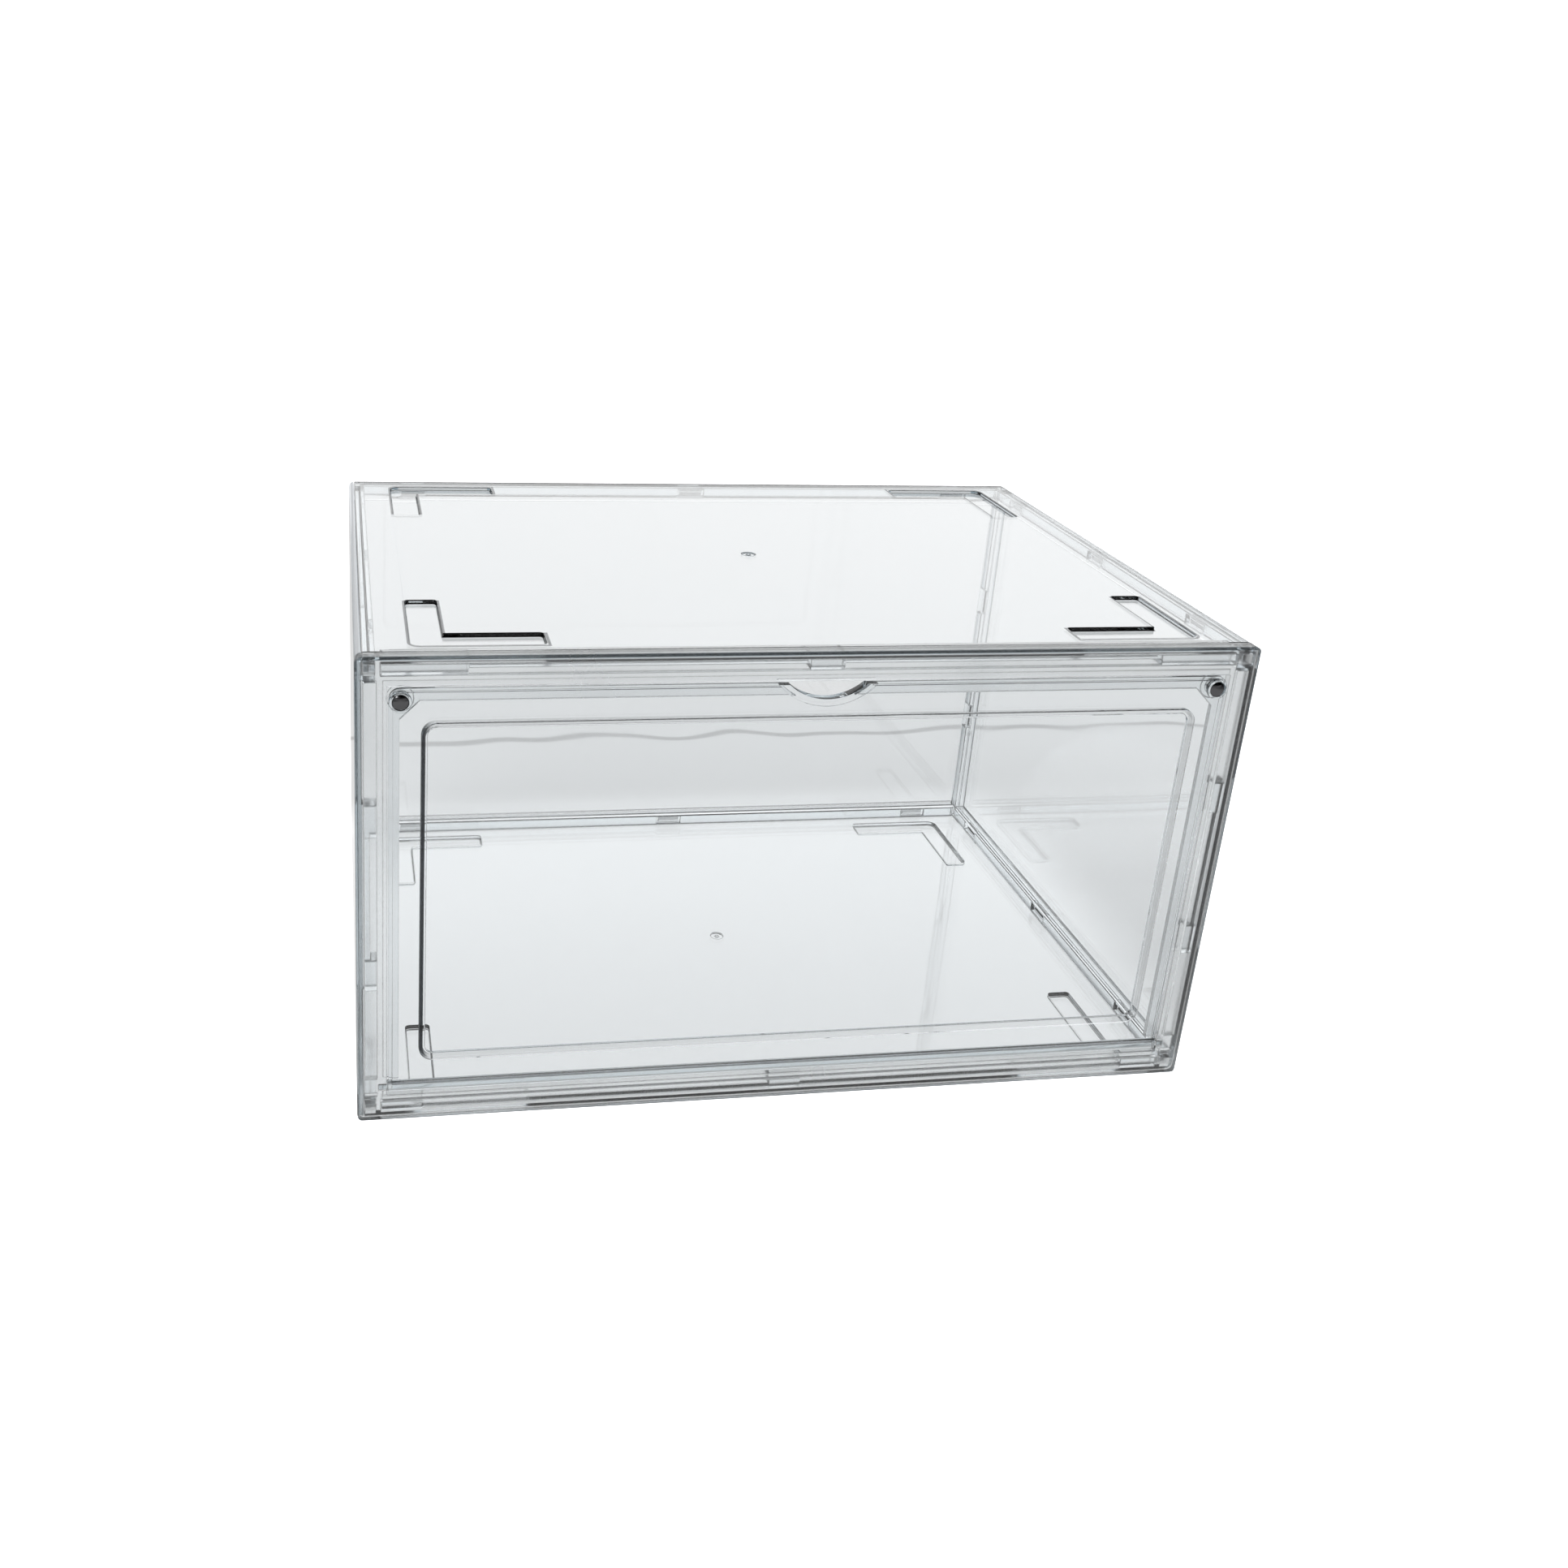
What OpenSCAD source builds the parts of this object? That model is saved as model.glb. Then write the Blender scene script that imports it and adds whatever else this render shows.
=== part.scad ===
// Clear drop-front shoe box, snapped together from moulded panels around a front frame.
// X runs across the box, Y from front to back, Z up. Millimetres.
// The origin is on the floor, under the middle of the box. The door is closed.

/* [Case] */
// Overall width
box_w = 350; // [300:1:400]
// Overall depth, from the raised face of the door to the back wall
box_d = 252; // [210:1:340]
// Overall height, feet included
box_h = 198; // [150:1:260]
// Thickness of the flat wall of every panel
wall = 2.6; // [2.4:0.1:3]
// Radius of the corners in the front view
corner_r = 3; // [2:0.5:4]
// Radius of the other outer edges
edge_r = 1.2; // [0.6:0.1:1.6]
// Clearance between neighbouring panels
fit_gap = 0.15; // [0.1:0.05:0.2]

/* [Panel edges] */
// Thickness of the tongues on the panel edges
tongue_t = 2.5; // [2:0.1:2.8]
// Thickness of the inner lip of a channel
lip_t = 2.2; // [1.8:0.1:2.4]
// Depth of a channel
channel_depth = 8; // [7.6:0.1:9]
// Length of a snap window in a lip
snap_len = 13.5; // [10:0.5:16]
// Distance of the outer snaps from the corners
snap_inset = 32; // [26:1:45]

/* [Stacking feet] */
// Height of the feet under the floor
foot_h = 1.2; // [0.8:0.1:1.4]
// Depth of the pockets in the roof and of the hollows over the feet
pocket_depth = 1.6; // [1.4:0.1:1.8]
// Outer length of an L-shaped pocket along X
pocket_len_x = 50; // [40:1:60]
// Outer length of an L-shaped pocket along Y
pocket_len_y = 51; // [40:1:60]
// Width of the bars of a pocket
pocket_bar = 12.4; // [11:0.1:14]
// Distance of the pockets from the sides
pocket_side = 20.3; // [16:0.1:30]
// Distance of the pockets from the front and the back
pocket_end = 12; // [11:0.1:20]
// Play of a foot in a pocket, on each side
foot_play = 1.1; // [0.6:0.1:1.4]

/* [Front frame] */
// Depth of the frame from front to back
frame_depth = 5.6; // [5.4:0.1:6.4]
// Thickness of the front plate of the frame
plate_t = 2.4; // [2.2:0.1:2.6]
// Width of the visible bars of the frame
bar_w = 11.6; // [11.4:0.1:12]
// Distance from the sides to the opening behind the door
lip_side = 16.2; // [15.5:0.1:17]
// Distance from the top to the opening behind the door
lip_top = 17.8; // [17:0.1:19]

/* [Door] */
// Thickness of the door
door_t = 2.6; // [2.4:0.1:2.8]
// Gap between the door and the frame at the top and the sides
door_gap = 0.6; // [0.4:0.1:0.8]
// Gap between the hinge barrel and the lower bar
sill_gap = 0.3; // [0.25:0.05:0.35]
// How far the window stands proud of the border
window_raise = 1.6; // [1.2:0.1:1.8]
// Width of the border beside the window, from the side of the box
window_side = 24; // [22:0.5:32]
// Distance of the window from the top of the box
window_top = 25.2; // [25:0.2:32]
// Distance of the window from the bottom of the frame
window_bottom = 28.4; // [26:0.2:36]
// Radius of the corners of the window
window_r = 5.5; // [3:0.5:8]
// Radius of the hinge pins
pin_r = 1.6; // [1.4:0.1:1.8]
// Radial clearance of the hinge pins in their bores
pin_play = 0.05; // [0.03:0.01:0.08]
// Inner radius of the half-moon finger pull
pull_r = 22; // [20:0.5:24]
// Width of the rim of the finger pull
pull_rim = 3; // [2:0.2:3.2]

/* [Magnets] */
// Radius of the magnets
magnet_r = 3.1; // [2.6:0.1:3.1]
// Thickness of the frame's magnets
magnet_t = 2.2; // [1.8:0.1:2.2]
// Distance of the magnets from the sides
magnet_side = 16.4; // [16.4:0.1:16.8]
// Distance of the magnets from the top of the box
magnet_top = 17.2; // [16.6:0.1:17.4]

/* [Hidden] */
$fn = 64;
clear_plastic = [0.86, 0.90, 0.92, 0.35];
nickel = [0.78, 0.78, 0.80];

// Limits of the case. The feet and the raised window stand proud of it.
side_x = box_w / 2;
front_y = -box_d / 2 + window_raise;
back_y = box_d / 2;
floor_z = foot_h;
roof_z = box_h;
mid_z = (floor_z + roof_z) / 2;
case_h = roof_z - floor_z;
// The panels end just behind the frame.
seam_y = front_y + frame_depth + fit_gap;

// Layers of an edge, measured inwards from the outer face of the wall
tongue_in = wall + fit_gap;
tongue_out = tongue_in + tongue_t;
lip_in = tongue_out + fit_gap;
lip_out = lip_in + lip_t;
// Levels of an edge, measured from the end of the wall
tongue_end = channel_depth - 2 * fit_gap;
web_t = 2.2;
web_end = channel_depth + web_t;
corner_gap = channel_depth + fit_gap;

// Snap windows in the lips and catches on the tongues
window_low = channel_depth - 0.3;
window_high = 3.9;
catch_len = snap_len - 2;
catch_rise = 1;
snap_x = [-(side_x - snap_inset), 0, side_x - snap_inset];
snap_y = [seam_y + snap_inset, (seam_y + back_y) / 2, back_y - snap_inset];
snap_z = [floor_z + case_h / 3, floor_z + case_h * 2 / 3];

// Groove behind the frame, and the tabs of the panels that enter it
groove_in = 3.1;
groove_out = 8;
rim_out = 10.2;
tab_in = groove_in + fit_gap;
tab_thin = tab_in + 2.2;
tab_out = groove_out - fit_gap;
tab_nose = front_y + plate_t + 0.2;
tab_root = 4;
tab_len = 13.4;
roof_tab_len = 31;
floor_tab_len = 16;
tab_side = 9.7;
rib_nose = tab_nose + 0.8;
corner_core = 4.4;
core_floor = front_y + 1.6;

// Door and hinge
door_in = bar_w + door_gap;
flange_w = 1.5;
flange_front = 0.6;
flange_back = 0.6;
door_r = 4.2;
barrel_r = door_t;
axis_y = front_y + barrel_r;
axis_z = floor_z + door_in + barrel_r;
sill_top = door_in - sill_gap;
lip_y = front_y + door_t + 0.3;
lip_back = lip_y + 2.2;
sill_y = axis_y + barrel_r + 0.4;
sill_back = sill_y + 2;
sill_rise = 14.2;
pin_tip = 8.4;
bore_end = 8.2;
bore_boss = 3.6;
window_wall = 2.2;
gusset = 7.2;

// The finger pull is part of a circle whose centre lies above the door.
pull_line = door_in + flange_w;
pull_centre = roof_z - pull_line + 17.5;
pull_cut = pull_r + pull_rim - 0.6;

// Magnets and their sockets
socket_play = 0.05;
ring_r = magnet_side - door_in - 0.1;
ring_rise = 0.9;
magnet_back = 1.85;
dome_r = 6;
boss_r = 4.9;
boss_back = lip_y + 3.2;
socket_y = lip_y + 0.8;

// Moulding mark in the middle of the floor and the roof
gate_r = 3;
gate_depth = 0.4;
gate_nub_r = 0.9;

// ---- outlines and slabs ----

module round_rect(w, h, r) {
    square([w - 2 * r, h], center = true);
    square([w, h - 2 * r], center = true);
    for (sx = [-1, 1], sy = [-1, 1])
        translate([sx * (w / 2 - r), sy * (h / 2 - r)]) circle(r);
}

// Slab that fills X and Z, from y0 to y1
module slab_y(y0, y1) {
    translate([0, y1, 0]) rotate([90, 0, 0]) linear_extrude(y1 - y0) children();
}

// Slab that fills Y and Z, from x0 to x1
module slab_x(x0, x1) {
    translate([x0, 0, 0]) rotate([90, 0, 90]) linear_extrude(x1 - x0) children();
}

// Slab that fills X and Y, from z0 to z1
module slab_z(z0, z1) {
    translate([0, 0, z0]) linear_extrude(z1 - z0) children();
}

// Box between two corners
module span(low, high) {
    translate(low) cube(high - low);
}

module both_sides() {
    children();
    mirror([1, 0, 0]) children();
}

// The outer form of the case, with its edges rounded
module case_form() {
    depth = back_y - front_y;
    mid_y = (front_y + back_y) / 2;
    intersection() {
        slab_y(front_y, back_y)
            translate([0, mid_z]) round_rect(box_w, case_h, corner_r);
        slab_x(-side_x, side_x)
            translate([mid_y, mid_z]) round_rect(depth, case_h, edge_r);
        slab_z(floor_z, roof_z)
            translate([0, mid_y]) round_rect(box_w, depth, edge_r);
    }
}

// Rectangle in the front view, set in from the case by side, top and bottom
module front_rect(side, top, bottom) {
    translate([-side_x + side, floor_z + bottom])
        square([box_w - 2 * side, case_h - top - bottom]);
}

// Rectangle of a side wall, set in from the floor, the roof and the back
module side_rect(inset, front = seam_y) {
    translate([front, floor_z + inset])
        square([back_y - inset - front, case_h - 2 * inset]);
}

// ---- snaps ----

// Catch on a tongue: X points away from the tongue, Y towards its free end
module catch(len) {
    rotate([90, 0, 0])
        linear_extrude(len, center = true)
            polygon([[-0.4, 0], [catch_rise, 0], [catch_rise, -0.8], [0, -3], [-0.4, -3]]);
}

// Catches of the roof's tongues. The floor uses them upside down.
module roof_catches() {
    catch_z = roof_z - window_high - 0.5;
    both_sides()
        for (y = snap_y)
            translate([-side_x + tongue_out, y, catch_z]) catch(catch_len);
    for (x = snap_x)
        translate([x, back_y - tongue_out, catch_z]) rotate(-90) catch(catch_len);
}

// ---- floor and roof ----

// L-shaped outline with its outer corner at the origin
module l_outline(bar, len_x, len_y) {
    outer_r = 4;
    end_r = 1.6;
    difference() {
        union() {
            translate([len_x / 2, bar / 2]) round_rect(len_x, bar, end_r);
            translate([bar / 2, len_y / 2]) round_rect(bar, len_y, end_r);
        }
        difference() {
            translate([-1, -1]) square(outer_r + 1);
            translate([outer_r, outer_r]) circle(outer_r);
        }
    }
}

// The four L shapes, set inside the pockets by play
module l_shapes(play) {
    mid_y = (front_y + back_y) / 2;
    reach_x = side_x - pocket_side - play;
    reach_y = (back_y - front_y) / 2 - pocket_end - play;
    for (sx = [0, 1], sy = [0, 1])
        translate([0, mid_y])
            mirror([sx, 0]) mirror([0, sy])
                translate([-reach_x, -reach_y])
                    l_outline(pocket_bar - 2 * play, pocket_len_x - 2 * play,
                              pocket_len_y - 2 * play);
}

module gate_mark(z) {
    difference() {
        translate([0, 0, z - gate_depth]) cylinder(r = gate_r, h = gate_depth + 1);
        translate([0, 0, z - gate_depth - 1]) cylinder(r = gate_nub_r, h = 1.3);
    }
}

// Roof plate with its tongues and the tabs that enter the frame, before any pocket is cut
module roof_blank(end_tab_len) {
    plate_x = side_x - tongue_in;
    end_x = side_x - tab_side;
    low_z = roof_z - tongue_end;
    intersection() {
        span([-plate_x, seam_y, roof_z - wall], [plate_x, back_y - tongue_in, roof_z]);
        case_form();
    }
    both_sides()
        span([-plate_x, seam_y, low_z],
             [-side_x + tongue_out, back_y - corner_gap, roof_z - wall + 0.5]);
    rear_x = side_x - lip_out - 2 * fit_gap;
    span([-rear_x, back_y - tongue_out, low_z], [rear_x, back_y - tongue_in, roof_z - wall + 0.5]);
    roof_catches();
    // rib along the front edge, and its nose in the frame's groove
    span([-end_x, seam_y, roof_z - tab_thin], [end_x, seam_y + tab_root, roof_z - wall + 0.5]);
    span([-end_x, rib_nose, roof_z - tab_thin], [end_x, seam_y + 1, roof_z - tab_in]);
    // tabs at both ends and in the middle
    tabs = [[-end_x, end_tab_len], [-tab_len / 2, tab_len], [end_x - end_tab_len, end_tab_len]];
    for (t = tabs)
        span([t[0], tab_nose, roof_z - tab_out], [t[0] + t[1], seam_y + tab_root, roof_z - tab_in]);
}

module top_panel() {
    color(clear_plastic)
        difference() {
            roof_blank(roof_tab_len);
            slab_z(roof_z - pocket_depth, roof_z + 1) l_shapes(0);
            gate_mark(roof_z);
        }
}

module bottom_panel() {
    color(clear_plastic)
        difference() {
            union() {
                translate([0, 0, 2 * mid_z]) mirror([0, 0, 1]) roof_blank(floor_tab_len);
                slab_z(0, floor_z + 0.5) l_shapes(foot_play);
            }
            slab_z(floor_z + wall - pocket_depth, floor_z + wall + 1) l_shapes(foot_play);
            gate_mark(floor_z + wall);
        }
}

// ---- side walls ----

module side_snap_windows() {
    high = window_low - window_high;
    for (y = snap_y, z = [floor_z + window_high, roof_z - window_low])
        span([-side_x + lip_in - 0.1, y - snap_len / 2, z],
             [-side_x + lip_out + 0.1, y + snap_len / 2, z + high]);
    for (z = snap_z)
        span([-side_x + lip_in - 0.1, back_y - window_low, z - snap_len / 2],
             [-side_x + lip_out + 0.1, back_y - window_high, z + snap_len / 2]);
}

// Left wall: plate, channel round three edges, and the rib and tabs at the front
module side_wall() {
    x0 = -side_x;
    difference() {
        union() {
            intersection() {
                slab_x(x0, x0 + wall) side_rect(0);
                case_form();
            }
            slab_x(x0 + wall - 0.5, x0 + lip_out)
                difference() {
                    side_rect(channel_depth);
                    side_rect(web_end, seam_y - 1);
                }
            slab_x(x0 + lip_in, x0 + lip_out)
                difference() {
                    side_rect(tongue_in);
                    side_rect(web_end, seam_y - 1);
                }
            // rib along the front edge, between the two tabs
            rib_low = snap_z[0] - tab_len / 2;
            rib_high = snap_z[1] + tab_len / 2;
            span([x0 + wall - 0.5, seam_y, rib_low], [x0 + tab_thin, seam_y + tab_root, rib_high]);
            span([x0 + tab_in, rib_nose, rib_low], [x0 + tab_thin, seam_y + 1, rib_high]);
            for (z = snap_z)
                span([x0 + tab_in, tab_nose, z - tab_len / 2],
                     [x0 + tab_out, seam_y + tab_root, z + tab_len / 2]);
        }
        side_snap_windows();
    }
}

module left_panel() {
    color(clear_plastic) side_wall();
}

module right_panel() {
    color(clear_plastic) mirror([1, 0, 0]) side_wall();
}

// ---- back wall ----

// Channel along the top edge of the back wall, with its snap windows
module back_channel() {
    end_x = side_x - lip_out - fit_gap;
    difference() {
        union() {
            span([-end_x, back_y - lip_out, roof_z - web_end],
                 [end_x, back_y - wall + 0.5, roof_z - channel_depth]);
            span([-end_x, back_y - lip_out, roof_z - web_end],
                 [end_x, back_y - lip_in, roof_z - tongue_in]);
        }
        for (x = snap_x)
            span([x - snap_len / 2, back_y - lip_out - 0.1, roof_z - window_low],
                 [x + snap_len / 2, back_y - lip_in + 0.1, roof_z - window_high]);
    }
}

module back_panel() {
    plate_x = side_x - tongue_in;
    color(clear_plastic) {
        intersection() {
            span([-plate_x, back_y - wall, floor_z], [plate_x, back_y, roof_z]);
            case_form();
        }
        back_channel();
        translate([0, 0, 2 * mid_z]) mirror([0, 0, 1]) back_channel();
        both_sides() {
            span([-plate_x, back_y - tongue_end, floor_z + corner_gap],
                 [-side_x + tongue_out, back_y - wall + 0.5, roof_z - corner_gap]);
            for (z = snap_z)
                translate([-side_x + tongue_out, back_y - window_high - 0.5, z])
                    rotate([-90, 0, 0]) catch(catch_len);
        }
    }
}

// ---- front frame ----

// Opening behind the door: gussets fill its upper corners, and it widens at the hinge
module rear_opening() {
    half = side_x - lip_side;
    low = floor_z + sill_top;
    high = roof_z - lip_top;
    polygon([[-half, low], [half, low], [half, high - gusset], [half - gusset, high],
             [-half + gusset, high], [-half, high - gusset]]);
    front_hinge = axis_z + barrel_r + 0.5;
    translate([-side_x + bar_w, low]) square([box_w - 2 * bar_w, front_hinge - low]);
    intersection() {
        translate([0, pull_centre]) circle(pull_cut);
        front_rect(bar_w, bar_w, sill_top);
    }
}

module corner_cores() {
    for (sx = [-1, 1], sz = [-1, 1])
        translate([sx * (side_x - groove_in - corner_core / 2), core_floor,
                   mid_z + sz * (case_h / 2 - groove_in - corner_core / 2)])
            translate([-corner_core / 2, 0, -corner_core / 2])
                cube([corner_core, frame_depth, corner_core]);
}

// Groove open to the back, between four solid corner blocks
module frame_groove() {
    y0 = front_y + plate_t;
    y1 = front_y + frame_depth + 1;
    slab_y(y0, y1) {
        for (s = [-1, 1]) {
            translate([s * (side_x - (groove_in + groove_out) / 2), mid_z])
                square([groove_out - groove_in, case_h - 2 * rim_out], center = true);
            translate([0, mid_z + s * (case_h / 2 - (groove_in + groove_out) / 2)])
                square([box_w - 2 * rim_out + 2, groove_out - groove_in], center = true);
        }
    }
}

// Ring that backs the edge of the door and carries the magnet gussets
module door_stop() {
    slab_y(lip_y, lip_back)
        difference() {
            front_rect(rim_out - 0.5, rim_out - 0.5, rim_out - 0.5);
            rear_opening();
        }
    both_sides()
        translate([-side_x + magnet_side, boss_back, roof_z - magnet_top])
            rotate([90, 0, 0]) cylinder(r = boss_r, h = boss_back - lip_y);
}

// Sill behind the hinge barrel
module hinge_sill() {
    x1 = side_x - rim_out;
    span([-x1, front_y + 1, floor_z + rim_out - 1], [x1, sill_back, floor_z + sill_top]);
    span([-x1, sill_y, floor_z + rim_out - 1], [x1, sill_back, floor_z + sill_rise]);
}

module hinge_bosses() {
    both_sides()
        span([-side_x + groove_in, front_y + 1, axis_z - bore_boss],
             [-side_x + bar_w, front_y + frame_depth, axis_z + bore_boss]);
}

module hinge_bores() {
    both_sides()
        translate([-side_x + bore_end, axis_y, axis_z])
            rotate([0, 90, 0]) cylinder(r = pin_r + pin_play, h = bar_w - bore_end + 1);
}

module magnet_sockets() {
    both_sides()
        translate([-side_x + magnet_side, boss_back + 1, roof_z - magnet_top])
            rotate([90, 0, 0]) cylinder(r = magnet_r + socket_play, h = boss_back + 1 - socket_y);
}

module front_frame() {
    color(clear_plastic)
        difference() {
            union() {
                difference() {
                    intersection() {
                        slab_y(front_y, front_y + frame_depth)
                            difference() {
                                front_rect(0, 0, 0);
                                front_rect(rim_out, rim_out, rim_out);
                            }
                        case_form();
                    }
                    frame_groove();
                    corner_cores();
                }
                slab_y(front_y, lip_back)
                    difference() {
                        front_rect(rim_out - 0.5, rim_out - 0.5, rim_out - 0.5);
                        front_rect(bar_w, bar_w, sill_top);
                    }
                door_stop();
                hinge_sill();
                hinge_bosses();
            }
            hinge_bores();
            magnet_sockets();
        }
}

// ---- door ----

// Door outline: rounded at the top, ending on the hinge axis at the bottom
module door_rect(inset) {
    r = max(door_r - inset, 1);
    half = side_x - door_in - inset;
    high = roof_z - door_in - inset;
    translate([-half, axis_z]) square([2 * half, high - r - axis_z]);
    translate([-half + r, axis_z]) square([2 * (half - r), high - axis_z]);
    for (s = [-1, 1])
        translate([s * (half - r), high - r]) circle(r);
}

module window_rect(inset) {
    w = box_w - 2 * window_side;
    h = case_h - window_top - window_bottom;
    translate([0, floor_z + window_bottom + h / 2])
        round_rect(w - 2 * inset, h - 2 * inset, window_r - inset);
}

module pull_disc(r) {
    intersection() {
        translate([0, pull_centre]) circle(r);
        translate([-side_x, axis_z]) square([box_w, roof_z - door_in - axis_z]);
    }
}

module door_solid() {
    top_front = front_y - window_raise;
    slab_y(front_y + flange_front, front_y + door_t - flange_back) door_rect(0);
    slab_y(front_y, front_y + door_t) door_rect(flange_w);
    slab_y(top_front, front_y + door_t) window_rect(0);
    slab_y(top_front, front_y + door_t) pull_disc(pull_r + pull_rim);
    half = side_x - door_in;
    translate([-half, axis_y, axis_z]) rotate([0, 90, 0]) cylinder(r = barrel_r, h = 2 * half);
    both_sides() {
        translate([-side_x + pin_tip, axis_y, axis_z])
            rotate([0, 90, 0]) cylinder(r = pin_r, h = door_in - pin_tip + 1);
        translate([-side_x + magnet_side, front_y + 1, roof_z - magnet_top])
            rotate([90, 0, 0]) cylinder(r = ring_r, h = 1 + ring_rise);
    }
}

module door() {
    color(clear_plastic)
        difference() {
            door_solid();
            slab_y(front_y + door_t - window_raise, front_y + door_t + 1) window_rect(window_wall);
            slab_y(front_y - window_raise - 1, front_y + door_t + 1)
                translate([0, pull_centre]) circle(pull_r);
            both_sides()
                translate([-side_x + magnet_side, front_y + magnet_back + 0.05, roof_z - magnet_top])
                    rotate([90, 0, 0]) cylinder(r = magnet_r + socket_play, h = 5);
        }
}

// ---- magnets ----

// Button magnet with a domed face towards the front
module door_magnet() {
    color(nickel)
        translate([-side_x + magnet_side, front_y + magnet_back, roof_z - magnet_top])
            rotate([90, 0, 0])
                intersection() {
                    cylinder(r = magnet_r, h = 6);
                    translate([0, 0, magnet_back + 1.4 - dome_r]) sphere(dome_r);
                }
}

// Disc magnet in the boss behind the gusset
module frame_magnet() {
    color(nickel)
        translate([-side_x + magnet_side, socket_y + 0.05 + magnet_t, roof_z - magnet_top])
            rotate([90, 0, 0]) cylinder(r = magnet_r, h = magnet_t);
}

bottom_panel();
top_panel();
left_panel();
right_panel();
back_panel();
front_frame();
door();
door_magnet();  // door_magnet_left
mirror([1, 0, 0]) door_magnet();  // door_magnet_right
frame_magnet();  // frame_magnet_left
mirror([1, 0, 0]) frame_magnet();  // frame_magnet_right
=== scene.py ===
"""The looks of a clear drop-front shoe box: moulded panels, front frame, door and magnets."""

import math

import bpy
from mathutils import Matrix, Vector


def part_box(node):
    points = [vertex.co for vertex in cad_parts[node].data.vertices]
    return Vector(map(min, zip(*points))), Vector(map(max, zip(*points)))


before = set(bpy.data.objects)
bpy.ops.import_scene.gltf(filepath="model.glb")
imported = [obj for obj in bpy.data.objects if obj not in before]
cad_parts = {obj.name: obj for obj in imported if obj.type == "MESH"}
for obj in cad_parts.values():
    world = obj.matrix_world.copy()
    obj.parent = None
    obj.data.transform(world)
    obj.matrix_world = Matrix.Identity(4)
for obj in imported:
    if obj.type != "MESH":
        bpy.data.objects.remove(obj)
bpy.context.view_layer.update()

MM = 0.001

# The camera stands a little left of the box and looks down over its front edge.
CAMERA_PLACE = (-0.1789, -0.6366, 0.3926)
CAMERA_TURN_DEG = (69.90, -2.72, -9.07)
CAMERA_LENS_MM = 35.29
SENSOR_MM = 36.0
CAMERA_SHIFT = (0.1186, -0.0897)

# The clear plastic. Its density says how much light is lost on the way through.
PLASTIC_DENSITY = 4.0
PLASTIC_IOR = 1.55
PANEL_TINT = (0.960, 0.976, 0.984)
FRAME_TINT = (0.950, 0.966, 0.973)
LOSS_TINT = (0.72, 0.80, 0.84, 1)
# The colour of the painted glow on the side walls' top edges.
PAINTED_GLOW_TINT = (0.92, 0.96, 1.0, 1)
PANEL_HAZE = (0.0, 0.03)
FRAME_HAZE = (0.18, 0.28)
PANEL_RIPPLE_MM = 0.25
SMALL_RIPPLE_MM = 0.15

# The magnets' plating, its tint darkened as painted shade.
NICKEL_SHADED_TINT = (0.14, 0.14, 0.145, 1)
NICKEL_GRAIN = (0.10, 0.26)

# How far the edges of each kind of piece are eased.
PANEL_EASE_MM = 0.45
FRAME_EASE_MM = 0.25
SMALL_EASE_MM = 0.15

# The window of the door, measured in from the door's box, and the band of painted shade inside its outline.
WINDOW_SIDE = 0.0156
WINDOW_TOP = 0.0130
WINDOW_BOTTOM = 0.0162
WINDOW_R = 0.0055
RIM_SHADE_WIDTH = 0.0013
RIM_SHADE_LEVEL = 0.30
RIM_SHADE_LEFT = 1.0
RIM_SHADE_RIGHT = 0.45

# The four pockets of the roof, measured in from its box, and the line of painted shade round them.
POCKET_SIDE = 0.01755
POCKET_END = 0.0082
POCKET_MID = 0.0008
POCKET_LONG = 0.0505
POCKET_BAR = 0.0124
POCKET_R = 0.004
POCKET_SHADE_WIDTH = 0.0009
POCKET_SHADE_LEVEL = 0.95

# The tint of every painted dark line, painted shade that stands in for light the moulding bends away, and
# its strength on eased edges and on the frame's outer sides.
PAINTED_SHADE_TINT = (0.03, 0.035, 0.04, 1)
EDGE_SHADE_LEVEL = 0.7
SIDE_SHADE_LEVEL = 0.4

# The painted glow on the side walls' top edges, emission standing in for guided light: how far from the
# middle it starts, and its strength.
PAINTED_GLOW_IN = 0.1722
PAINTED_GLOW_LEVEL = 0.42

# The stage, in metres and in strengths of light. The floor is just under the feet.
FLOOR_Z = -0.0002
FLOOR_FRONT = 0.72
FLOOR_BACK = 0.86
FLOOR_MIRRORED = 0.9
AROUND_FRONT = 0.46
AROUND_BACK = 0.58
FOOT_X = 0.17
FOOT_Y = 0.12
FOOT_FADE = 0.06
TABLE_END = 0.252
TABLE_LINE = 0.55
SIDE_NEAR = 0.50
SIDE_FAR = 0.90
SIDE_LEFT_OVER = 0.15
WALL_LIGHT = 0.60
BACK_LIGHT = 1.5
DARK_LIGHT = 0.04
CAMERA_WHITE = 1.5


# ---------------------------------------------------------------- small helpers

def new_material(name):
    """An empty node material and its node tree, with a Principled shader on the output."""
    material = bpy.data.materials.new(name)
    material.use_nodes = True
    tree = material.node_tree
    tree.nodes.clear()
    output = tree.nodes.new("ShaderNodeOutputMaterial")
    shader = tree.nodes.new("ShaderNodeBsdfPrincipled")
    tree.links.new(shader.outputs["BSDF"], output.inputs["Surface"])
    return material, tree, shader, output


def place_texture(tree, scale, detail):
    """A noise value from a texture in the object's own metres."""
    noise = tree.nodes.new("ShaderNodeTexNoise")
    noise.inputs["Scale"].default_value = scale
    noise.inputs["Detail"].default_value = detail
    tree.links.new(object_point(tree), noise.inputs["Vector"])
    return noise.outputs["Fac"]


def object_point(tree):
    """The place on the piece, in the object's own metres."""
    return tree.nodes.new("ShaderNodeTexCoord").outputs["Object"]


def axes(tree, vector):
    """The outputs X, Y and Z of a vector."""
    split = tree.nodes.new("ShaderNodeSeparateXYZ")
    tree.links.new(vector, split.inputs["Vector"])
    return split.outputs


def mapped(tree, socket, low, high):
    """The middle of a noise value's range, spread evenly from low to high."""
    return ranged(tree, socket, 0.35, 0.65, low, high, "LINEAR")


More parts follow.
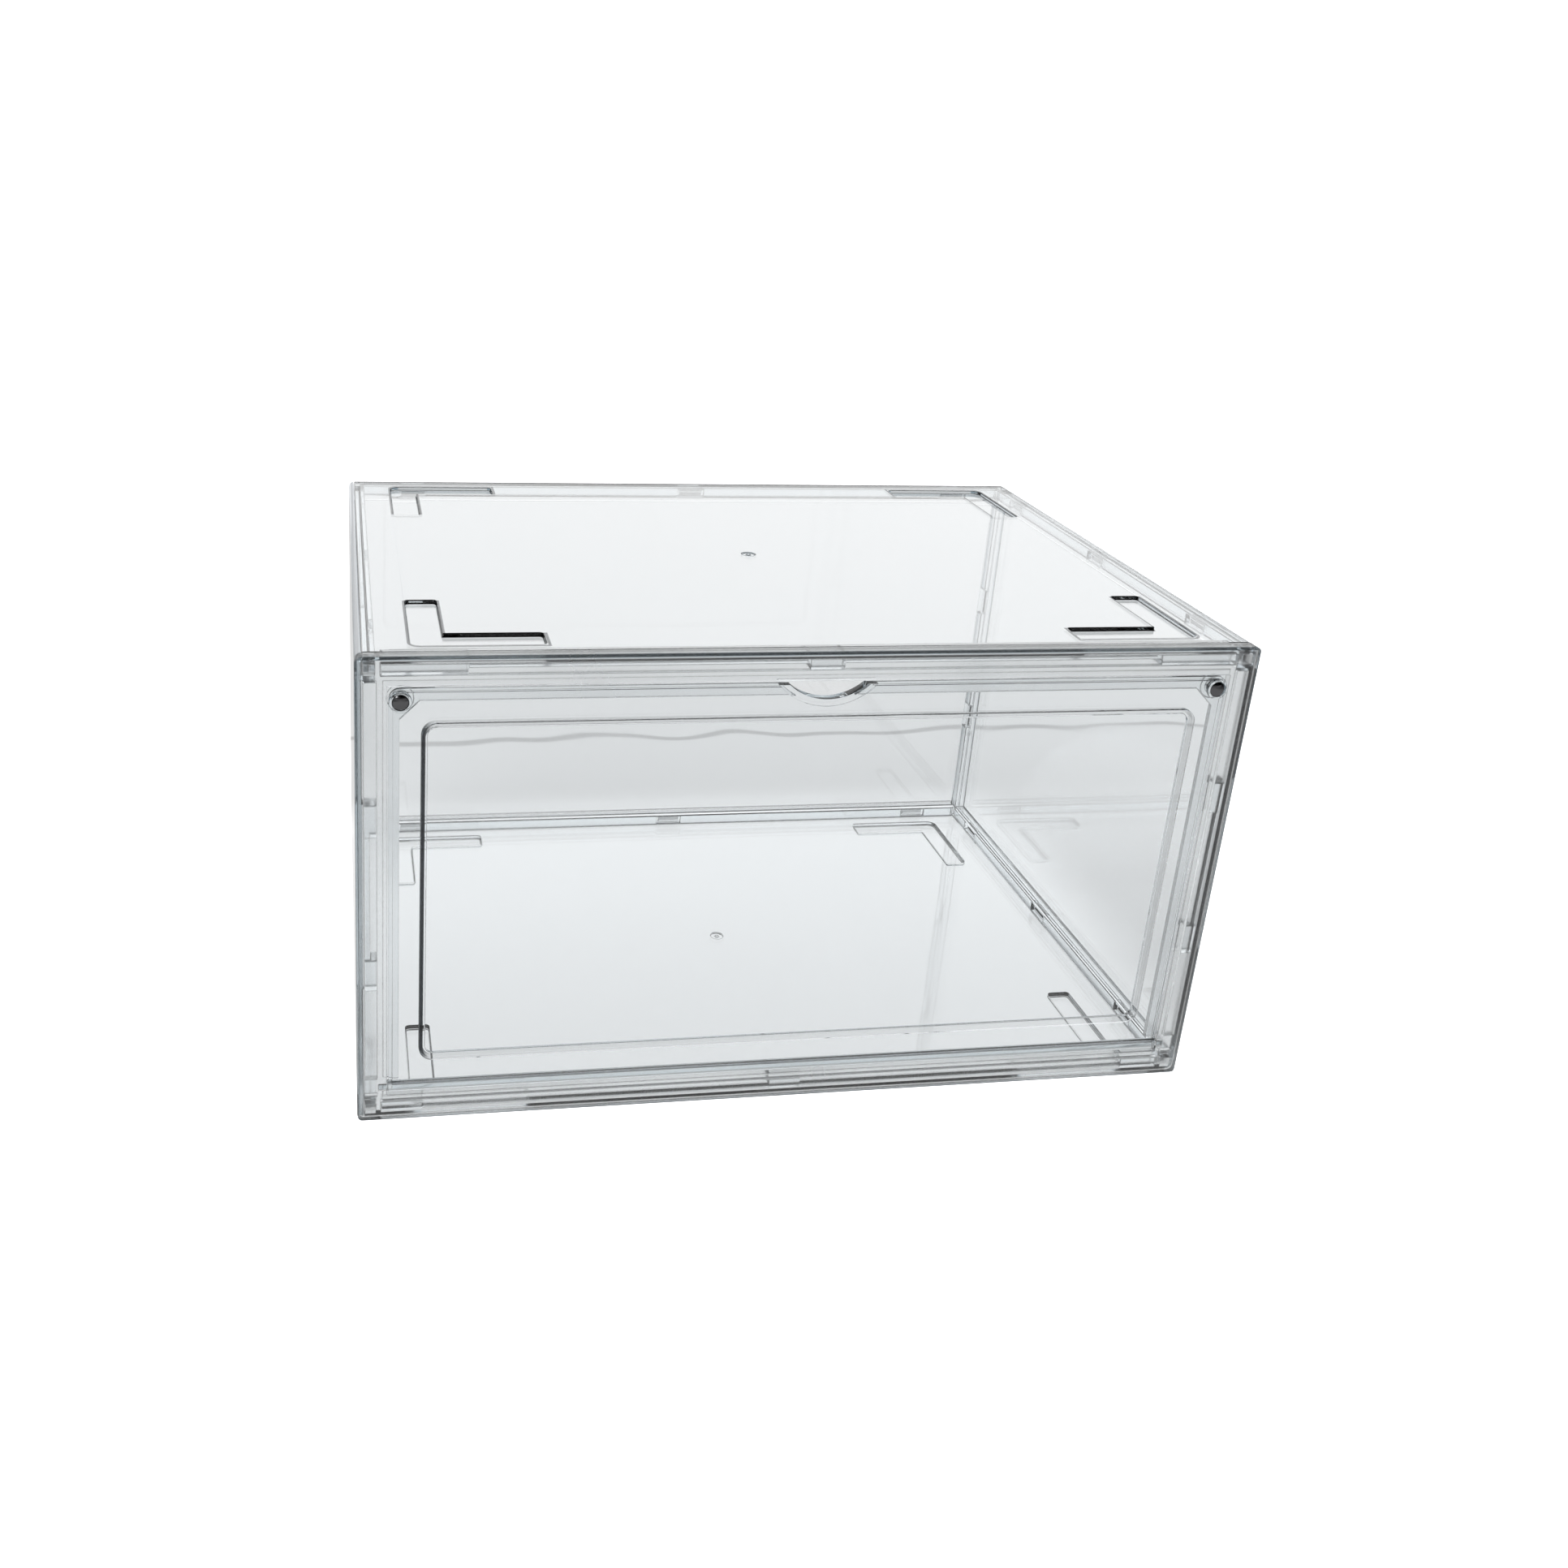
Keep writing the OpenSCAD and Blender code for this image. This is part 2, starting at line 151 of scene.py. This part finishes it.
def ranged(tree, socket, start, end, low, high, way="SMOOTHSTEP"):
    """The value at socket, taken from low at start to high at end."""
    spread = tree.nodes.new("ShaderNodeMapRange")
    spread.interpolation_type = way
    for name, value in (("From Min", start), ("From Max", end), ("To Min", low), ("To Max", high)):
        spread.inputs[name].default_value = value
    tree.links.new(socket, spread.inputs["Value"])
    return spread.outputs["Result"]


def combined(tree, operation, first, second):
    """A math node's result for two sockets or numbers."""
    node = tree.nodes.new("ShaderNodeMath")
    node.operation = operation
    for slot, value in zip(node.inputs, (first, second)):
        if isinstance(value, (int, float)):
            slot.default_value = value
        else:
            tree.links.new(value, slot)
    return node.outputs["Value"]


def magnitude(tree, socket):
    """The value at socket without its sign."""
    return combined(tree, "ABSOLUTE", socket, 0.0)


# ---------------------------------------------------------------- materials

def clear_plastic(name, tint, ripple_mm, haze, painted_shade_mask, glow=None):
    """Clear moulded plastic: smooth, faintly tinted, with the slow ripple of a moulded sheet.

    The painted_shade_mask function gives a value from 0 to 1 for where painted shade darkens the tint,
    standing in for light that the moulding guides away, and the optional glow function gives the strength of
    a painted glow on an edge.
    """
    material, tree, shader, output = new_material(name)
    # Painted shade: the tint mixes towards a dark tint where the mask is high.
    shade = tree.nodes.new("ShaderNodeMix")
    shade.data_type = "RGBA"
    shade.inputs["A"].default_value = (*tint, 1)
    shade.inputs["B"].default_value = PAINTED_SHADE_TINT
    tree.links.new(painted_shade_mask(tree), shade.inputs["Factor"])
    tree.links.new(shade.outputs["Result"], shader.inputs["Base Color"])
    if glow:
        # Painted glow: emission on the clear plastic, standing in for light guided to an edge.
        shader.inputs["Emission Color"].default_value = PAINTED_GLOW_TINT
        tree.links.new(glow(tree), shader.inputs["Emission Strength"])
    shader.inputs["Transmission Weight"].default_value = 1.0
    shader.inputs["IOR"].default_value = PLASTIC_IOR
    tree.links.new(mapped(tree, place_texture(tree, 14.0, 5.0), *haze), shader.inputs["Roughness"])
    bump = tree.nodes.new("ShaderNodeBump")
    bump.inputs["Distance"].default_value = ripple_mm * MM
    tree.links.new(place_texture(tree, 9.0, 1.0), bump.inputs["Height"])
    tree.links.new(bump.outputs["Normal"], shader.inputs["Normal"])
    loss = tree.nodes.new("ShaderNodeVolumeAbsorption")
    loss.inputs["Color"].default_value = LOSS_TINT
    loss.inputs["Density"].default_value = PLASTIC_DENSITY
    tree.links.new(loss.outputs["Volume"], output.inputs["Volume"])
    return material


def window_painted_shade(tree):
    """A band of painted shade just inside the window's outline, full at its left and faint along the other
    sides.
    """
    low, high = (Vector(corner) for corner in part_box("door"))
    left, right = low.x + WINDOW_SIDE, high.x - WINDOW_SIDE
    bottom, top = low.z + WINDOW_BOTTOM, high.z - WINDOW_TOP
    centre = ((left + right) / 2, 0, (bottom + top) / 2)
    core = ((right - left) / 2 - WINDOW_R, 1, (top - bottom) / 2 - WINDOW_R)
    point = object_point(tree)
    across = axes(tree, point)["X"]
    steps = (("SUBTRACT", centre), ("ABSOLUTE", None), ("SUBTRACT", core), ("MAXIMUM", (0, 0, 0)))
    for operation, value in steps:
        step = tree.nodes.new("ShaderNodeVectorMath")
        step.operation = operation
        tree.links.new(point, step.inputs[0])
        if value is not None:
            step.inputs[1].default_value = value
        point = step.outputs["Vector"]
    reach = tree.nodes.new("ShaderNodeVectorMath")
    reach.operation = "LENGTH"
    tree.links.new(point, reach.inputs[0])
    distance = reach.outputs["Value"]
    inner = ranged(tree, distance, WINDOW_R - RIM_SHADE_WIDTH - 0.3 * MM, WINDOW_R - RIM_SHADE_WIDTH, 0.0, 1.0)
    outer = ranged(tree, distance, WINDOW_R, WINDOW_R + 0.2 * MM, 1.0, 0.0)
    band = combined(tree, "MULTIPLY", inner, outer)
    upright = combined(tree, "DIVIDE", axes(tree, point)["X"], combined(tree, "MAXIMUM", distance, 0.1 * MM))
    side = ranged(tree, across, left, right, RIM_SHADE_LEFT, RIM_SHADE_RIGHT)
    level = ranged(tree, upright, 0.1, 0.9, RIM_SHADE_LEVEL, 1.0)
    return combined(tree, "MULTIPLY", combined(tree, "MULTIPLY", band, side), level)


def edge_painted_shade(tree):
    """A thin line of painted shade along the eased edges that lie between flat and upright faces."""
    facing = tree.nodes.new("ShaderNodeTexCoord").outputs["Normal"]
    flat = magnitude(tree, axes(tree, facing)["Z"])
    tilted = ranged(tree, flat, 0.90, 0.99, EDGE_SHADE_LEVEL, 0.0)
    return combined(tree, "MULTIPLY", tilted, ranged(tree, flat, 0.05, 0.25, 0.0, 1.0))


def pocket_painted_shade(tree):
    """Painted shade on the roof's eased edges, and a painted dark line round its four stacking pockets."""
    low, high = (Vector(corner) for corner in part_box("top_panel"))
    reach_x, reach_y = high.x - POCKET_SIDE, (high.y - low.y) / 2 - POCKET_END
    place = axes(tree, object_point(tree))
    from_middle = combined(tree, "SUBTRACT", place["Y"], POCKET_MID)
    u = combined(tree, "SUBTRACT", reach_x, magnitude(tree, place["X"]))
    v = combined(tree, "SUBTRACT", reach_y, magnitude(tree, from_middle))

    def beyond(value, length):
        """How far the value lies outside 0 to length."""
        offset = magnitude(tree, combined(tree, "SUBTRACT", value, length / 2))
        return combined(tree, "SUBTRACT", offset, length / 2)

    across = combined(tree, "MAXIMUM", beyond(u, POCKET_LONG), beyond(v, POCKET_BAR))
    along = combined(tree, "MAXIMUM", beyond(u, POCKET_BAR), beyond(v, POCKET_LONG))
    squares = []
    for value in (u, v):
        short = combined(tree, "MAXIMUM", combined(tree, "SUBTRACT", POCKET_R, value), 0.0)
        squares.append(combined(tree, "MULTIPLY", short, short))
    root = combined(tree, "POWER", combined(tree, "ADD", *squares), 0.5)
    outside = combined(tree, "MAXIMUM", combined(tree, "MINIMUM", across, along),
                       combined(tree, "SUBTRACT", root, POCKET_R))
    inner = ranged(tree, outside, -0.2 * MM, 0.0, 0.0, 1.0)
    outer = ranged(tree, outside, POCKET_SHADE_WIDTH, POCKET_SHADE_WIDTH + 0.3 * MM, 1.0, 0.0)
    top = ranged(tree, place["Z"], high.z - 0.6 * MM, high.z - 0.5 * MM, 0.0, POCKET_SHADE_LEVEL)
    line = combined(tree, "MULTIPLY", combined(tree, "MULTIPLY", inner, outer), top)
    return combined(tree, "MAXIMUM", line, edge_painted_shade(tree))


def painted_edge_glow(tree):
    """Painted glow: emission on a side wall's rounded top edge, standing in for light that the wall guides
    up to it.
    """
    _, high = (Vector(corner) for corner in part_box("left_panel"))
    place = axes(tree, object_point(tree))
    side = ranged(tree, magnitude(tree, place["X"]), PAINTED_GLOW_IN, PAINTED_GLOW_IN + 0.3 * MM, 0.0, PAINTED_GLOW_LEVEL)
    top = ranged(tree, place["Z"], high.z - 3.4 * MM, high.z - 1.0 * MM, 0.0, 1.0)
    return combined(tree, "MULTIPLY", side, top)


def side_painted_shade(tree):
    """Painted shade on the outer side faces of the frame, which makes them look darker than its front."""
    _, high = (Vector(corner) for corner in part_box("front_frame"))
    across = magnitude(tree, axes(tree, object_point(tree))["X"])
    return ranged(tree, across, high.x - 0.9 * MM, high.x - 0.5 * MM, 0.0, SIDE_SHADE_LEVEL)


def magnet_metal():
    """Polished nickel plate with a fine grain, its colour darkened as painted shade."""
    material, tree, shader, _ = new_material("magnet_nickel")
    shader.inputs["Base Color"].default_value = NICKEL_SHADED_TINT
    shader.inputs["Metallic"].default_value = 1.0
    grain = mapped(tree, place_texture(tree, 900.0, 3.0), *NICKEL_GRAIN)
    tree.links.new(grain, shader.inputs["Roughness"])
    return material


def plain_shading_nodes():
    """A node group that drops a mesh's stored normals, so that eased edges use their own faces."""
    group = bpy.data.node_groups.new("plain_shading", "GeometryNodeTree")
    group.interface.new_socket("Geometry", in_out="INPUT", socket_type="NodeSocketGeometry")
    group.interface.new_socket("Geometry", in_out="OUTPUT", socket_type="NodeSocketGeometry")
    entry = group.nodes.new("NodeGroupInput")
    leave = group.nodes.new("NodeGroupOutput")
    strip = group.nodes.new("GeometryNodeRemoveAttribute")
    strip.inputs["Name"].default_value = "custom_normal"
    group.links.new(entry.outputs[0], strip.inputs["Geometry"])
    group.links.new(strip.outputs["Geometry"], leave.inputs[0])
    return group


def dress(node, material, edge_mm, shading):
    """Gives a carried-over CAD node its material and eases its sharp edges as a mould does."""
    node.data.materials.clear()
    node.data.materials.append(material)
    weld = node.modifiers.new("weld", "WELD")
    weld.merge_threshold = 0.002 * MM
    plain = node.modifiers.new("plain_shading", "NODES")
    plain.node_group = shading
    ease = node.modifiers.new("ease_edges", "BEVEL")
    ease.limit_method = "ANGLE"
    ease.angle_limit = math.radians(35)
    ease.width = edge_mm * MM
    ease.segments = 3
    ease.use_clamp_overlap = False
    ease.loop_slide = False


# ---------------------------------------------------------------- the stage

def pale_floor(size):
    """A plain white floor. The camera sees it bright and even, and the box sees it as a lit table."""
    mesh = bpy.data.meshes.new("floor")
    half = size / 2
    corners = ((-half, -half), (half, -half), (half, half), (-half, half))
    mesh.from_pydata([(x, y, FLOOR_Z) for x, y in corners], [], [(0, 1, 2, 3)])
    floor = bpy.data.objects.new("floor", mesh)
    bpy.context.scene.collection.objects.link(floor)
    material = bpy.data.materials.new("white_floor")
    material.use_nodes = True
    tree = material.node_tree
    tree.nodes.clear()
    output = tree.nodes.new("ShaderNodeOutputMaterial")
    paper = tree.nodes.new("ShaderNodeBsdfDiffuse")
    paper.inputs["Color"].default_value = (0.30, 0.30, 0.30, 1)
    glow = tree.nodes.new("ShaderNodeEmission")
    whole = tree.nodes.new("ShaderNodeAddShader")
    tree.links.new(paper.outputs["BSDF"], whole.inputs[0])
    tree.links.new(glow.outputs["Emission"], whole.inputs[1])
    tree.links.new(whole.outputs["Shader"], output.inputs["Surface"])
    path = tree.nodes.new("ShaderNodeLightPath")
    place = axes(tree, tree.nodes.new("ShaderNodeNewGeometry").outputs["Position"])
    across = magnitude(tree, place["X"])
    along = magnitude(tree, place["Y"])
    beside = ranged(tree, across, FOOT_X, FOOT_X + FOOT_FADE, 1.0, 0.0)
    before = ranged(tree, along, FOOT_Y, FOOT_Y + FOOT_FADE, 1.0, 0.0)
    under = ranged(tree, place["Y"], -FOOT_Y, FOOT_Y, FLOOR_FRONT, FLOOR_BACK)
    inside = combined(tree, "MULTIPLY", beside, before)
    around = ranged(tree, place["Y"], -FOOT_Y, 2 * FOOT_Y, AROUND_FRONT, AROUND_BACK)
    wave = mapped(tree, place_texture(tree, 11.0, 1.0), -7 * MM, 7 * MM)
    from_end = combined(tree, "SUBTRACT", combined(tree, "ADD", place["Y"], wave), TABLE_END)
    near_line = ranged(tree, magnitude(tree, from_end), 1 * MM, 5 * MM, TABLE_LINE, 1.0)
    around = combined(tree, "MULTIPLY", around, near_line)
    patch = combined(tree, "MULTIPLY", inside, combined(tree, "SUBTRACT", under, around))
    aside = ranged(tree, across, SIDE_NEAR, SIDE_FAR, 1.0, SIDE_LEFT_OVER)
    shade = combined(tree, "MULTIPLY", combined(tree, "ADD", patch, around), aside)
    lit = combined(tree, "ADD", shade, path.outputs["Is Camera Ray"])
    mirrored = ranged(tree, path.outputs["Is Reflection Ray"], 0.0, 1.0, 1.0, FLOOR_MIRRORED)
    tree.links.new(combined(tree, "MULTIPLY", lit, mirrored), glow.inputs["Strength"])
    mesh.materials.append(material)


def studio_world():
    """A white room as the camera sees it, and a softbox behind with a dark ceiling as the box sees it."""
    world = bpy.data.worlds.new("studio")
    bpy.context.scene.world = world
    world.use_nodes = True
    tree = world.node_tree
    tree.nodes.clear()
    output = tree.nodes.new("ShaderNodeOutputWorld")
    background = tree.nodes.new("ShaderNodeBackground")
    tree.links.new(background.outputs["Background"], output.inputs["Surface"])
    way = axes(tree, tree.nodes.new("ShaderNodeTexCoord").outputs["Generated"])
    depth, height = way["Y"], way["Z"]
    low_wall = ranged(tree, height, 0.10, 0.24, 1.0, 0.0)
    ahead_wall = ranged(tree, depth, 0.25, 0.70, DARK_LIGHT, WALL_LIGHT)
    front_wall = ranged(tree, depth, -0.80, -0.45, WALL_LIGHT, 0.0)
    wall = combined(tree, "MULTIPLY", low_wall, combined(tree, "ADD", ahead_wall, front_wall))
    above = ranged(tree, height, 0.10, 0.24, 0.0, 1.0)
    below = ranged(tree, height, 0.65, 0.85, 1.0, 0.0)
    ahead = ranged(tree, depth, 0.05, 0.50, 0.0, BACK_LIGHT)
    box_light = combined(tree, "MULTIPLY", combined(tree, "MULTIPLY", above, below), ahead)
    room = combined(tree, "ADD", wall, box_light)
    path = tree.nodes.new("ShaderNodeLightPath")
    white = combined(tree, "MULTIPLY", path.outputs["Is Camera Ray"], CAMERA_WHITE)
    tree.links.new(combined(tree, "MAXIMUM", room, white), background.inputs["Strength"])


def softbox(name, place, aim, size, power, mirrored=True):
    """A round area lamp that points at aim. Shiny and clear pieces show it only if mirrored."""
    data = bpy.data.lights.new(name, "AREA")
    data.shape = "DISK"
    data.size = size
    data.energy = power
    lamp = bpy.data.objects.new(name, data)
    bpy.context.scene.collection.objects.link(lamp)
    lamp.visible_glossy = mirrored
    lamp.visible_transmission = mirrored
    lamp.location = place
    lamp.rotation_euler = (Vector(aim) - Vector(place)).to_track_quat("-Z", "Y").to_euler()


def studio_camera():
    """The camera, which becomes the scene's own."""
    data = bpy.data.cameras.new("camera")
    data.sensor_width = SENSOR_MM
    data.lens = CAMERA_LENS_MM
    data.shift_x, data.shift_y = CAMERA_SHIFT
    camera = bpy.data.objects.new("camera", data)
    bpy.context.scene.collection.objects.link(camera)
    camera.location = CAMERA_PLACE
    camera.rotation_euler = [math.radians(angle) for angle in CAMERA_TURN_DEG]
    bpy.context.scene.camera = camera


# ---------------------------------------------------------------- building the scene

scene = bpy.context.scene
scene.view_settings.view_transform = "Standard"
scene.cycles.max_bounces = 32
scene.cycles.transmission_bounces = 32
scene.cycles.glossy_bounces = 12
scene.cycles.transparent_max_bounces = 16

studio_camera()
pale_floor(12.0)
studio_world()
aim = (0, 0, 0.1)
softbox("key", (-0.9, -0.6, 1.5), aim, 0.8, 12, mirrored=False)
softbox("sparkle", (-0.9, -1.5, 0.9), aim, 0.4, 3.2)
softbox("fill", (1.1, 0.4, 1.3), aim, 0.8, 8, mirrored=False)

# Each clear material below carries a painted shade mask, and the panels also carry a painted glow.
panel = clear_plastic("clear_panel", PANEL_TINT, PANEL_RIPPLE_MM, PANEL_HAZE, edge_painted_shade, painted_edge_glow)
door_clear = clear_plastic("clear_door", PANEL_TINT, SMALL_RIPPLE_MM, PANEL_HAZE, window_painted_shade)
lid_clear = clear_plastic("clear_lid", PANEL_TINT, PANEL_RIPPLE_MM, PANEL_HAZE, pocket_painted_shade)
frame_clear = clear_plastic("clear_frame", FRAME_TINT, SMALL_RIPPLE_MM, FRAME_HAZE, side_painted_shade)
metal = magnet_metal()
looks = {
    "front_frame": (frame_clear, FRAME_EASE_MM),
    "door": (door_clear, SMALL_EASE_MM),
    "top_panel": (lid_clear, PANEL_EASE_MM),
}
shading = plain_shading_nodes()
for name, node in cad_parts.items():
    usual = (metal, SMALL_EASE_MM) if "magnet" in name else (panel, PANEL_EASE_MM)
    dress(node, *looks.get(name, usual), shading)
